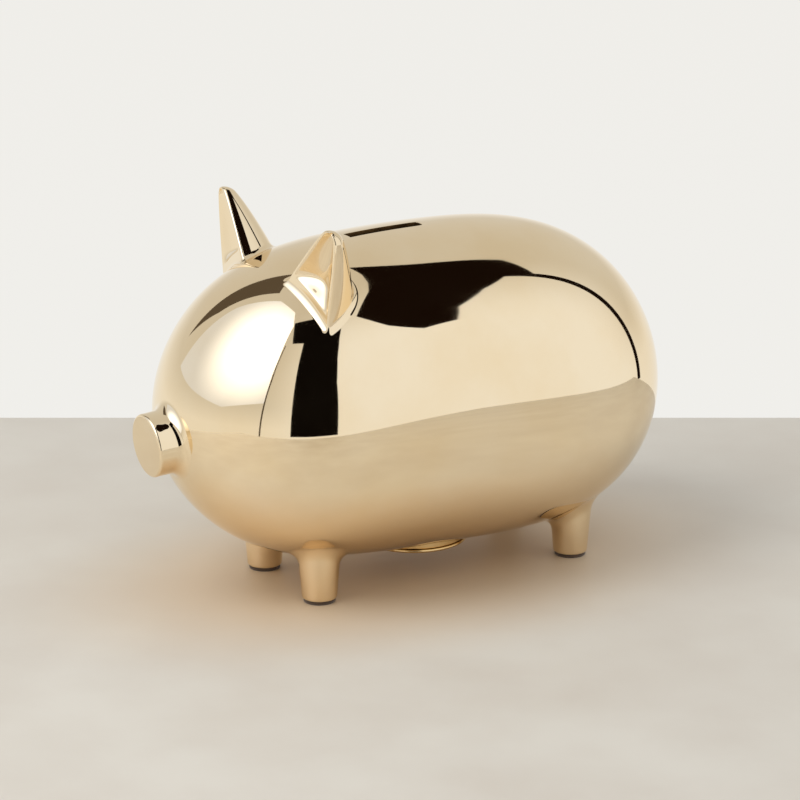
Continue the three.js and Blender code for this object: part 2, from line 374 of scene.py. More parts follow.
@dataclass(frozen=True)
class WoolFelt(Finish):
    """Pressed wool felt, dyed dark brown.

    The eye sees a soft dark edge with stray fibres and a dusty sheen.
    """

    dye: str = "#3A2A1E"
    fibre: str = "#57432F"
    fibre_size: float = 0.35 * MM

    def dress(self, tree: bpy.types.NodeTree, shader: bpy.types.Node) -> None:
        """Mats the fibres; they are drawn about twice as thick as wool is, to show at all."""
        mat = grain(tree, self.fibre_size, 5.0, Vector((1.0, 1.0, 2.5)))
        shader.inputs["Sheen Weight"].default_value = 0.3
        shader.inputs["Sheen Roughness"].default_value = 0.6
        colours = {0.35: self.dye, 0.7: self.fibre}
        lay_skin(tree, shader, mat, colours, (0.9, 1.0), (mat, 0.12 * MM, 0.8))


@dataclass(frozen=True)
class HonedStone(Finish):
    """A plain pale stone table top, honed and faintly clouded, with a painted warm glow under the bank that
    stands in for light thrown down off the brass.
    """

    pale: str = "#D8D5CF"
    clouded: str = "#D1CCC5"
    # painted light: the stone's colour under the bank is warmed to stand in for light thrown down off the
    # brass, full within the core and gone by the reach
    painted_bounce: str = "#D2B999"
    bounce_core: float = 15 * MM
    bounce_reach: float = 100 * MM
    bank_stretch: float = 0.62

    def dress(self, tree: bpy.types.NodeTree, shader: bpy.types.Node) -> None:
        """Clouds the stone a little, and paints the warm light that the brass throws down into the stone's
        colour under the bank.
        """
        cloud = grain(tree, 60 * MM, 6.0)
        stone = ramp(tree, cloud, {0.35: self.clouded, 0.65: self.pale})
        # painted bounce light: a patch round the bank, narrowed along it, mixed over the stone's own colour
        place = add_node(tree, "TexCoord").outputs["Object"]
        narrowed = add_node(tree, "Mapping", inputs={"Vector": place, "Scale": (1, self.bank_stretch, 1)})
        away = add_node(tree, "VectorMath", {"operation": "LENGTH"}, {0: narrowed.outputs["Vector"]})
        share = add_node(
            tree,
            "MapRange",
            {"interpolation_type": "SMOOTHSTEP"},
            {
                "Value": away.outputs["Value"],
                "From Min": self.bounce_core,
                "From Max": self.bounce_reach,
                "To Min": 1.0,
                "To Max": 0.0,
            },
        )
        bounce_patch = add_node(
            tree,
            "Mix",
            {"data_type": "RGBA"},
            {0: share.outputs["Result"], 6: stone, 7: linear(self.painted_bounce)},
        )
        limits = {"From Min": 0.3, "From Max": 0.7, "To Min": 0.5, "To Max": 0.6}
        sheen = add_node(tree, "MapRange", inputs={"Value": cloud, **limits})
        tree.links.new(bounce_patch.outputs[2], shader.inputs["Base Color"])
        tree.links.new(sheen.outputs["Result"], shader.inputs["Roughness"])


MIRROR_BRASS = MirrorBrass("mirror_polished_brass")
RAW_BRASS = RawBrass("raw_cast_brass")
ZINC_PLATE = ZincPlate("zinc_plated_steel")
RUBBER = MouldedRubber("moulded_rubber")
FELT = WoolFelt("pressed_wool_felt")
STONE = HonedStone("honed_stone")


class Slot(Enum):
    """Material slots of the record; no piece in this script takes its finish from them."""

    POLISHED_BRASS = "polished_brass"
    ZINC_STEEL = "zinc_steel"
    BUNG_RUBBER = "bung_rubber"
    PAD_FELT = "pad_felt"


class Body(Enum):
    """Moving bodies of the bank."""

    BANK = "bank"
    STOPPER = "stopper"


# ------------------------------------------------------------------ modelling by hand


def take_up(piece: bpy.types.Object) -> None:
    """Selects one object and nothing else, and makes it the active one."""
    for other in bpy.context.selected_objects:
        other.select_set(False)
    piece.select_set(True)
    bpy.context.view_layer.objects.active = piece


def set_down(piece: bpy.types.Object, name: str) -> bpy.types.Object:
    """Names a new primitive and brings its place into its mesh.

    Args:
        piece: the object that an operator has just added.
        name: its name.

    Returns:
        The same object.
    """
    piece.name = piece.data.name = name
    take_up(piece)
    bpy.ops.object.transform_apply(location=True, rotation=True, scale=True)
    return piece


class Bench:
    """Keeps one mesh in edit mode for as long as work on it lasts."""

    def __init__(self, piece: bpy.types.Object) -> None:
        """Notes the piece to work on."""
        self.piece = piece

    def __enter__(self) -> "Bench":
        """Enters edit mode, by corners, with nothing selected."""
        take_up(self.piece)
        bpy.ops.object.mode_set(mode="EDIT")
        bpy.ops.mesh.select_mode(type="VERT")
        bpy.ops.mesh.select_all(action="DESELECT")
        return self

    def __exit__(self, *trouble: object) -> None:
        """Leaves edit mode."""
        bpy.ops.object.mode_set(mode="OBJECT")

    @property
    def mesh(self) -> bmesh.types.BMesh:
        """The mesh as it stands, with its elements numbered."""
        made = bmesh.from_edit_mesh(self.piece.data)
        for table in (made.verts, made.edges, made.faces):
            table.ensure_lookup_table()
        return made

    def show(self) -> None:
        """Brings a selection or a move made in code into view of the operators."""
        bmesh.update_edit_mesh(self.piece.data)

    def pick(self, mode: str, test: Callable[[object], bool]) -> int:
        """Selects by a test, and nothing else.

        Args:
            mode: VERT, EDGE or FACE.
            test: says whether an element of that kind is wanted.

        Returns:
            How many elements are selected.
        """
        bpy.ops.mesh.select_mode(type=mode)
        bpy.ops.mesh.select_all(action="DESELECT")
        mesh = self.mesh
        kinds = {"VERT": mesh.verts, "EDGE": mesh.edges, "FACE": mesh.faces}
        wanted = [part for part in kinds[mode] if test(part)]
        for part in wanted:
            part.select_set(True)
        mesh.select_flush_mode()
        self.show()
        return len(wanted)


def finish_with(piece: bpy.types.Object, kind: str, **settings: object) -> None:
    """Adds one modifier and applies it.

    Args:
        piece: the piece to work on.
        kind: the modifier's type.
        **settings: its settings.
    """
    take_up(piece)
    modifier = piece.modifiers.new(kind.lower(), kind)
    for name, value in settings.items():
        setattr(modifier, name, value)
    bpy.ops.object.modifier_apply(modifier=modifier.name)


def smooth(piece: bpy.types.Object, degrees: float = 35.0) -> None:
    """Shades a piece smooth, except over edges sharper than an angle."""
    take_up(piece)
    bpy.ops.object.shade_smooth_by_angle(angle=math.radians(degrees))


def wire(name: str, points: Sequence[Vector]) -> bpy.types.Object:
    """Draws an open outline, point by point.

    Args:
        name: the new object's name.
        points: the outline's points in order.

    Returns:
        An object with one row of edges.
    """
    bpy.ops.mesh.primitive_plane_add(size=MM, location=points[0])
    piece = set_down(bpy.context.object, name)
    with Bench(piece):
        bpy.ops.mesh.select_all(action="SELECT")
        bpy.ops.mesh.merge(type="CENTER")
        for start, end in zip(points, points[1:]):
            bpy.ops.mesh.extrude_region_move(TRANSFORM_OT_translate={"value": end - start})
    return piece


def spun(name: str, points: Sequence[Vector], centre: Vector, axis: Vector, steps: int) -> bpy.types.Object:
    """Spins an outline all the way round an axis.

    Args:
        name: the new object's name.
        points: the outline in a plane through the axis.
        centre: a point on the axis.
        axis: the axis' direction.
        steps: how many times the outline is repeated round it.

    Returns:
        A closed piece whose faces point outwards.
    """
    piece = wire(name, points)
    with Bench(piece):
        bpy.ops.mesh.select_all(action="SELECT")
        bpy.ops.mesh.spin(steps=steps, angle=math.tau, center=centre, axis=axis)
        bpy.ops.mesh.select_all(action="SELECT")
        bpy.ops.mesh.remove_doubles(threshold=0.001 * MM)
        bpy.ops.mesh.normals_make_consistent(inside=False)
    return piece


def turned(name: str, outline: Outline, centre: Vector, steps: int = 96) -> bpy.types.Object:
    """Turns a piece round an upright axis.

    Args:
        name: the new object's name.
        outline: radius and height of each point, from the bottom up.
        centre: a point on the axis; its height counts for nothing.
        steps: how many flats make up the round.

    Returns:
        The turned piece, not yet shaded smooth.
    """
    foot = Vector((centre.x, centre.y, 0.0))
    points = [foot + Vector((radius, 0.0, height)) for radius, height in outline]
    return spun(name, points, foot, Vector((0.0, 0.0, 1.0)), steps)


def lofted(name: str, rings: Sequence[Sequence[Vector]]) -> bpy.types.Object:
    """Draws out a skin from ring to ring and closes it in a point after the last.

    Args:
        name: the new object's name.
        rings: rings of equally many points, each point in step with its neighbours'.

    Returns:
        The lofted piece, open at its first ring.
    """
    bpy.ops.mesh.primitive_circle_add(vertices=len(rings[0]), radius=MM, fill_type="NOTHING")
    piece = set_down(bpy.context.object, name)
    with Bench(piece) as bench:
        bpy.ops.mesh.select_all(action="SELECT")
        row = list(range(len(rings[0])))
        for number, ring in enumerate(rings):
            if number:
                bpy.ops.mesh.extrude_edges_move()
                row = next_row(bench.mesh, row)
            mesh = bench.mesh
            for index, point in zip(row, ring):
                mesh.verts[index].co = point
            bench.show()
        bpy.ops.mesh.merge(type="CENTER")
        bpy.ops.mesh.select_all(action="SELECT")
        bpy.ops.mesh.remove_doubles(threshold=0.0005 * MM)
        bpy.ops.mesh.normals_make_consistent(inside=False)
    return piece


def next_row(mesh: bmesh.types.BMesh, row: Sequence[int]) -> list[int]:
    """Finds the new vertex that an extrusion has set beside each old one.

    Args:
        mesh: the mesh just after the extrusion.
        row: numbers of the old row's vertices, in order.

    Returns:
        Numbers of the new row's vertices, in the same order.
    """
    old = set(row)
    found = []
    for index in row:
        vertex = mesh.verts[index]
        ends = (edge.other_vert(vertex) for edge in vertex.link_edges)
        found.append(next(end.index for end in ends if end.select and end.index not in old))
    return found


def register(
    piece: bpy.types.Object,
    finishes: Iterable[Finish],
    body: Body,
    stands_for: Sequence[str],
) -> None:
    """Dresses a piece, lets it ride on its body and hides the CAD nodes that it stands for.

    Args:
        piece: the finished piece.
        finishes: the finishes that it doesn't wear yet.
        body: the body it rides on.
        stands_for: names of CAD nodes.
    """
    for finish in finishes:
        piece.data.materials.append(finish.material())
    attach(piece, body.value)
    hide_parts(*stands_for)
    LOG.info("%s: %d faces for %s", piece.name, len(piece.data.polygons), ", ".join(stands_for))


# ------------------------------------------------------------------ the body's form


@dataclass(frozen=True)
class BodyForm:
    """The egg that the bank's body follows: round sections on a gently arched centre line."""

    rump_y: float
    girth_radius: float
    belly_height: float
    length: float = 191 * MM
    bluntness: float = 0.067
    terms: tuple[float, ...] = (1.0, -0.142, 0.092, -0.034, -0.023)
    arch_drop: float = 3.2 * MM
    arch_lead: float = 12.8 * MM
    scale: float = field(init=False)
    crown: float = field(init=False)

    def __post_init__(self) -> None:
        """Works out the scale of the sections and the height of the centre line's crown."""
        angles = [math.pi * i / 720 for i in range(1, 720)]
        object.__setattr__(self, "scale", self.girth_radius / max(map(self.plain_radius, angles)))
        reach = (self.scale * self.plain_radius(a) + self.arch_fall(self.along(a)) for a in angles)
        object.__setattr__(self, "crown", self.belly_height + max(reach))

    @property
    def middle_y(self) -> float:
        """Half way between head and rump."""
        return self.rump_y - self.length / 2

    @property
    def head_y(self) -> float:
        """The front end of the body."""
        return self.rump_y - self.length

    def plain_radius(self, angle: float) -> float:
        """Radius of a section before scaling, at an angle from head (0) to rump (pi)."""
        return math.sin(angle) * sum(term * math.cos(i * angle) for i, term in enumerate(self.terms))

    def along(self, angle: float) -> float:
        """Y of the section at an angle."""
        shape = math.cos(angle) + self.bluntness * math.sin(angle) ** 2
        return self.middle_y - self.length / 2 * shape

    def angle_at(self, y: float) -> float:
        """The angle whose section stands at y, held between head and rump."""
        share = max(-1.0, min(1.0, (self.middle_y - y) / (self.length / 2)))
        root = math.sqrt(1 - 4 * self.bluntness * (share - self.bluntness))
        return math.acos(max(-1.0, min(1.0, (1 - root) / (2 * self.bluntness))))

    def radius(self, y: float) -> float:
        """Radius of the section at y."""
        return self.scale * self.plain_radius(self.angle_at(y))

    def arch_fall(self, y: float) -> float:
        """Fall of the centre line below its crown at y."""
        return self.arch_drop * ((y - self.middle_y + self.arch_lead) / (self.length / 2)) ** 2

    def axis_height(self, y: float) -> float:
        """Height of the centre line at y."""
        return self.crown - self.arch_fall(y)

    def outside(self, point: Vector) -> float:
        """How far a point lies outside the skin, measured across the section."""
        over = math.hypot(point.x, point.z - self.axis_height(point.y)) - self.radius(point.y)
        past = max(self.head_y - point.y, point.y - self.rump_y, 0.0)
        return over + past

    def normal(self, point: Vector) -> Vector:
        """Outward normal of the skin at or near a point.

        Args:
            point: a place on the skin or close to it.

        Returns:
            A unit vector.
        """
        step = 0.01 * MM
        if min(point.y - self.head_y, self.rump_y - point.y) < step:
            return Vector((0.0, math.copysign(1.0, point.y - self.middle_y), 0.0))
        rise = point.z - self.axis_height(point.y)
        reach = max(math.hypot(point.x, rise), 1e-9)
        swell = (self.radius(point.y + step) - self.radius(point.y - step)) / (2 * step)
        climb = (self.axis_height(point.y + step) - self.axis_height(point.y - step)) / (2 * step)
        return Vector((point.x / reach, -swell - climb * rise / reach, rise / reach)).normalized()

    def nearest(self, point: Vector) -> Vector:
        """The place on the skin that a point drops to along the skin's normal."""
        for _ in range(8):
            normal = self.normal(point)
            across = max(0.2, math.hypot(normal.x, normal.z))
            point = point - normal * (self.outside(point) * across)
        return point

    def settle(self, piece: bpy.types.Object, tolerance: float) -> None:
        """Gives every corner that lies on the skin the skin's own normal, so that seams can't be seen.

        Args:
            piece: a smooth-shaded piece.
            tolerance: how close to the skin a corner counts as on it.
        """
        mesh = piece.data
        on_skin = {
            vertex.index: self.normal(vertex.co)
            for vertex in mesh.vertices
            if abs(self.outside(vertex.co)) < tolerance
        }
        corners = [
            on_skin.get(loop.vertex_index) or Vector(corner.vector)
            for loop, corner in zip(mesh.loops, mesh.corner_normals)
        ]
        mesh.normals_split_custom_set(corners)


def form_of_frame() -> BodyForm:
    """Reads the form's sizes off the CAD shells."""
    low, high = cad_box("front_shell")
    return BodyForm(rump_y=cad_box("rear_shell")[1].y, girth_radius=high.x, belly_height=low.z)


# ------------------------------------------------------------------ shells


@dataclass(frozen=True)
class Shells:
    """The two cups of the body, brazed together behind the belly port."""

    form: BodyForm
    wall: float = 3 * MM
    slot_length: float = 30 * MM
    slot_corner: float = 0.3 * MM
    slot_edge: float = 0.3 * MM
    slot_centre: float = -9.7 * MM
    slot_strips: int = 2
    slot_half: float = 2.5 * MM
    port_gap: float = 0.3 * MM
    drill_depth: float = 60 * MM
    rounds: int = 288
    stations: int = 132

    @property
    def seam_y(self) -> float:
        """Where the two cups meet: half way across the gap that CAD leaves."""
        return (cad_box("front_shell")[1].y + cad_box("rear_shell")[0].y) / 2

    @property
    def slot_ends(self) -> tuple[float, float]:
        """Front and rear end of the coin slot."""
        middle = self.form.middle_y + self.slot_centre
        return middle - self.slot_length / 2, middle + self.slot_length / 2

    def section_places(self) -> list[float]:
        """Y of each section, evenly spread and with the nearest ones moved onto the seam and the slot's ends.

        Returns:
            Places from head to rump.
        """
        angles = [math.pi * i / self.stations for i in range(self.stations + 1)]
        places = [self.form.along(angle) for angle in angles]
        front, rear = self.slot_ends
        for wanted in (self.seam_y, front, front + self.slot_edge * 3, rear - self.slot_edge * 3, rear):
            nearest = min(range(1, self.stations), key=lambda i: abs(places[i] - wanted))
            places[nearest] = wanted
        return sorted(places)

    def egg(self) -> bpy.types.Object:
        """Spins the whole skin and arches it.

        Returns:
            A closed egg without thickness.
        """
        form = self.form
        outline = [Vector((0.0, y, form.radius(y))) for y in self.section_places()]
        egg = spun("body_skin", outline, Vector(), Vector((0.0, 1.0, 0.0)), self.rounds)
        with Bench(egg) as bench:
            mesh = bench.mesh
            for vertex in mesh.verts:
                vertex.co.z += form.axis_height(vertex.co.y)
            bench.show()
        return egg

    def cup(self, egg: bpy.types.Object, name: str, keeps: Callable[[float], bool]) -> bpy.types.Object:
        """Copies the egg and takes away the other cup's faces.

        Args:
            egg: the whole skin.
            name: the cup's name.
            keeps: says whether a face whose middle is at y belongs to the cup.

        Returns:
            An open skin with its own mesh.
        """
        cup = egg.copy()
        cup.data = egg.data.copy()
        cup.name = cup.data.name = name
        bpy.context.collection.objects.link(cup)
        with Bench(cup) as bench:
            bench.pick("FACE", lambda face: not keeps(face.calc_center_median().y))
            bpy.ops.mesh.delete(type="FACE")
        return cup

    def cut_slot(self, cup: bpy.types.Object) -> None:
        """Takes the slot's faces out of the back and rounds the slot's corners."""
        front, rear = self.slot_ends
        half = self.slot_strips * math.tau / self.rounds * self.form.girth_radius

        def in_slot(face: bmesh.types.BMFace) -> bool:
            """Says whether a face of the back lies in the slot."""
            middle = face.calc_center_median()
            return front < middle.y < rear and abs(middle.x) < half and middle.z > self.form.crown

        with Bench(cup) as bench:
            bench.pick("FACE", in_slot)
            bpy.ops.mesh.delete(type="FACE")
            mesh = bench.mesh
            edge = max(abs(v.co.x) for v in mesh.verts if v.is_boundary and self.by_slot(v.co))
            for vertex in mesh.verts:
                for end, inwards in ((front, 1), (rear, -1)):
                    corner = abs(vertex.co.y - end) < 0.01 * MM and abs(abs(vertex.co.x) - edge) < 0.2 * MM
                    if corner and vertex.is_boundary:
                        vertex.co.x -= math.copysign(self.slot_corner, vertex.co.x)
                        vertex.co.y += inwards * self.slot_corner
            bench.show()

    def by_slot(self, place: Vector, margin: float = 0.4 * MM) -> bool:
        """Says whether a place on the back lies in the slot's own rectangle or close round it."""
        front, rear = self.slot_ends
        inside = front - margin < place.y < rear + margin and abs(place.x) < self.slot_half + margin
        return inside and place.z > self.form.crown

    def ease_slot(self, cup: bpy.types.Object) -> None:
        """Breaks the slot's outer edge, as a file and the buffing wheel do."""

        def on_edge(edge: bmesh.types.BMEdge) -> bool:
            """Says whether an edge runs between the skin and the slot's wall."""
            ends = [vertex.co for vertex in edge.verts]
            on_skin = all(self.by_slot(end) and abs(self.form.outside(end)) < 0.1 * MM for end in ends)
            return on_skin and len(edge.link_faces) == 2 and edge.calc_face_angle() > math.radians(50)

        with Bench(cup) as bench:
            count = bench.pick("EDGE", on_edge)
            bpy.ops.mesh.bevel(offset=self.slot_edge, segments=3, affect="EDGES")
        LOG.info("slot: %d edges eased", count)

    def cut_port(self, cup: bpy.types.Object) -> None:
        """Bores the belly port through the wall."""
        low, high = cad_box("port_collar")
        middle = (low + high) / 2
        radius = (high.x - low.x) / 2 + self.port_gap
        bpy.ops.mesh.primitive_cylinder_add(
            vertices=144, radius=radius, depth=self.drill_depth, location=middle
        )
        drill = set_down(bpy.context.object, "port_drill")
        finish_with(cup, "BOOLEAN", object=drill, operation="DIFFERENCE", solver="EXACT")
        bpy.data.objects.remove(drill, do_unlink=True)

    def build(self) -> None:
        """Makes both cups with their wall, slot and port."""
        egg = self.egg()
        seam = self.seam_y
        front = self.cup(egg, "polished_front_shell", lambda y: y < seam)
        rear = self.cup(egg, "polished_rear_shell", lambda y: y > seam)
        bpy.data.objects.remove(egg, do_unlink=True)
        self.cut_slot(front)
        for cup, node in ((front, "front_shell"), (rear, "rear_shell")):
            for finish in (MIRROR_BRASS, RAW_BRASS):
                cup.data.materials.append(finish.material())
            finish_with(
                cup,
                "SOLIDIFY",
                thickness=self.wall,
                offset=-1.0,
                use_even_offset=True,
                material_offset=1,
                material_offset_rim=1,
            )
            if cup is front:
                self.ease_slot(cup)
                self.cut_port(cup)
            smooth(cup)
            self.form.settle(cup, 0.006 * MM)
            register(cup, (), Body.BANK, [node])


# ------------------------------------------------------------------ what stands on the body


def halved(low: float, high: float, falls_short: Callable[[float], bool]) -> float:
    """Finds by halving where a test stops being true.

    Args:
        low: a value at which it is true.
        high: a value at which it isn't.
        falls_short: the test.

    Returns:
        The last value at which it is true.
    """
    for _ in range(34):
        middle = (low + high) / 2
        if falls_short(middle):
            low = middle
        else:
            high = middle
    return low


@dataclass(frozen=True)
class Root:
    """Grows a piece out of the body by a fillet.

    The fillet leaves the skin tangent to it and ends on the piece's flank.
    """

    form: BodyForm
    place: Place
    inside: float
    outside: float
    points: int
    reach: float
    fullness: float = 0.58
    rows: int = 12

    def foot_height(self, share: float) -> float:
        """Height at which the flank at a share of the way round meets the skin."""
        return halved(self.inside, self.outside, lambda h: self.form.outside(self.place(share, h)) < 0)

    def fillet(self, share: float) -> tuple[list[Vector], float]:
        """Draws the fillet's curve at one share of the way round.

        Args:
            share: place round the piece, from 0 to 1.

        Returns:
            The curve's points from the skin up, and the height at which the last one lies.
        """
        height = self.foot_height(share)
        foot = self.place(share, height)
        top = height + self.reach
        flank = self.place(share, top)
        climb = (self.place(share, top + 0.1 * MM) - flank).normalized()
        along = self.place(share + 0.002, height) - self.place(share - 0.002, height)
        normal = self.form.normal(foot)
        away = along.cross(normal)
        centre = self.place(share + 0.5, height)
        if away.dot(foot - centre) < 0:
            away.negate()
        away = (away - normal * away.dot(normal)).normalized()
        edge = self.form.nearest(foot + away * self.reach)
        ground = self.form.normal(edge)
        back = foot - edge
        back = (back - ground * back.dot(ground)).normalized()
        pull = self.reach * self.fullness
        bends = (edge, edge + back * pull, flank - climb * pull, flank)
        return [bezier(bends, row / self.rows) for row in range(self.rows + 1)], top

    def rings(self) -> tuple[list[list[Vector]], list[float]]:
        """Draws the fillet all round.

        Returns:
            Rings from the skin up, and the height of the last ring at each of its points.
        """
        curves = [self.fillet(i / self.points) for i in range(self.points)]
        rings = [[curve[row] for curve, _ in curves] for row in range(self.rows + 1)]
        return rings, [top for _, top in curves]


def bezier(bends: Sequence[Vector], share: float) -> Vector:
    """A point on a cubic Bezier curve.

    Args:
        bends: its four control points.
        share: place along it, from 0 to 1.

    Returns:
        The point.
    """
    rest = 1 - share
    weights = (rest**3, 3 * rest**2 * share, 3 * rest * share**2, share**3)
    return sum((bend * weight for bend, weight in zip(bends, weights)), Vector())


def polish(piece: bpy.types.Object, form: BodyForm, node: str) -> None:
    """Buffs a piece that stands on the body: smooth all over, and at one with the skin at its root."""
    smooth(piece, 60)
    form.settle(piece, 0.001 * MM)
    register(piece, [MIRROR_BRASS], Body.BANK, [node])


def level_points(count: int, radius: float, height: float) -> list[Vector]:
    """Points evenly spread round a circle that lies level at a height."""
    turns = [math.tau * i / count for i in range(count)]
    return [Vector((math.cos(turn) * radius, math.sin(turn) * radius, height)) for turn in turns]


@dataclass(frozen=True)
class Foot:
    """A turned tapered stub on a thin felt pad."""

    form: BodyForm
    node: str
    toe_radius: float = 6.25 * MM
    top_radius: float = 8.5 * MM
    top_height: float = 29.5 * MM
    toe_edge: float = 1.3 * MM
    fillet: float = 4.2 * MM
    points: int = 96

    @property
    def centre(self) -> Vector:
        """The pad's middle on the table."""
        low, high = cad_box(self.node + "_pad")
        return Vector(((low.x + high.x) / 2, (low.y + high.y) / 2, 0.0))

    @property
    def sole(self) -> float:
        """Height of the foot's underside, on the pad."""
        return cad_box(self.node + "_pad")[1].z

    def radius(self, height: float) -> float:
        """Radius of the plain taper at a height over the table."""
        toe = self.sole + self.toe_edge
        share = (height - toe) / (self.top_height - toe)
        return self.toe_radius + (self.top_radius - self.toe_radius) * share

    def place(self, share: float, drop: float) -> Vector:
        """A place on the taper, at a drop below the table's level, so that it grows away from the body."""
        turn, radius = math.tau * share, self.radius(-drop)
        return self.centre + Vector((math.cos(turn) * radius, math.sin(turn) * radius, -drop))

    def build(self) -> None:
        """Draws the stub down from its fillet, rounds its toe and closes its sole."""
        root = Root(self.form, self.place, -40 * MM, -self.sole, self.points, self.fillet)
        rings, tops = root.rings()
        toe = self.sole + self.toe_edge
        for step in range(1, 13):
            drops = [top + (-toe - top) * step / 12 for top in tops]
            rings.append([self.place(i / self.points, drop) for i, drop in enumerate(drops)])
        for step in range(1, 8):
            turn = math.pi / 2 * step / 7
            radius = self.toe_radius - self.toe_edge * (1 - math.cos(turn))
            rings.append(self.level_ring(radius, toe - self.toe_edge * math.sin(turn)))
        rings.append(self.level_ring(self.toe_radius / 2, self.sole))
        polish(lofted("polished_" + self.node, rings), self.form, self.node)
        self.build_pad()

    def level_ring(self, radius: float, height: float) -> list[Vector]:
        """A level ring of points round the foot's axis."""
        return [self.centre + point for point in level_points(self.points, radius, height)]

    def build_pad(self) -> None:
        """Turns the felt pad, with a slightly swollen, softened edge."""
        low, high = cad_box(self.node + "_pad")
        radius, thick = (high.x - low.x) / 2, high.z - low.z
        soft = thick * 0.22
        outline = [(0.0, 0.0), (radius * 0.6, 0.0), (radius - soft, 0.0), (radius - soft * 0.3, soft * 0.3)]
        outline += [(radius, thick * 0.5), (radius - soft * 0.3, thick - soft * 0.3)]
        outline += [(radius - soft, thick), (radius * 0.6, thick), (0.0, thick)]
        pad = turned("felt_" + self.node + "_pad", outline, self.centre, 64)
        smooth(pad, 60)
        register(pad, [FELT], Body.BANK, [self.node + "_pad"])


@dataclass(frozen=True)
class Snout:
    """A plain turned disc on the head, its face tipped a little upwards."""

    form: BodyForm
    radius: float = 11.1 * MM
    drop: float = 5 * MM
    pitch: float = math.radians(4.5)
    edge: float = 1.0 * MM
    fillet: float = 3.2 * MM
    points: int = 128

    @property
    def stance(self) -> Matrix:
        """The snout's frame: origin in the middle of its face, Z out of the face."""
        low = cad_box("snout")[0]
        middle = self.form.axis_height(self.form.head_y) - self.drop
        reach = low.y + self.radius * math.sin(self.pitch)
        tilt = Matrix.Rotation(math.pi / 2 + self.pitch, 4, "X")
        return Matrix.Translation((0.0, reach, middle)) @ tilt

    def place(self, share: float, height: float) -> Vector:
        """A place on the disc's flank at a height over its face; the flank swells towards the head."""
        turn = math.tau * share
        swell = 0.025 * max(-height - 3 * MM, 0.0)
        radius = self.radius + swell
        return self.stance @ Vector((math.cos(turn) * radius, math.sin(turn) * radius, height))

    def face_ring(self, radius: float, height: float) -> list[Vector]:
        """A ring of points level with the face."""
        return [self.stance @ point for point in level_points(self.points, radius, height)]

    def build(self) -> None:
        """Draws the flank out of its fillet, rounds the edge and closes the face."""
        root = Root(self.form, self.place, -30 * MM, 0.0, self.points, self.fillet)
        rings, tops = root.rings()
        for step in range(1, 7):
            heights = [top + (-self.edge - top) * step / 6 for top in tops]
            rings.append([self.place(i / self.points, height) for i, height in enumerate(heights)])
        for step in range(1, 9):
            turn = math.pi / 2 * step / 8
            radius = self.radius - self.edge * (1 - math.cos(turn))
            rings.append(self.face_ring(radius, self.edge * (math.sin(turn) - 1)))
        rings += [self.face_ring(self.radius * share, 0.0) for share in (0.88, 0.6, 0.3)]
        polish(lofted("polished_snout", rings), self.form, "snout")


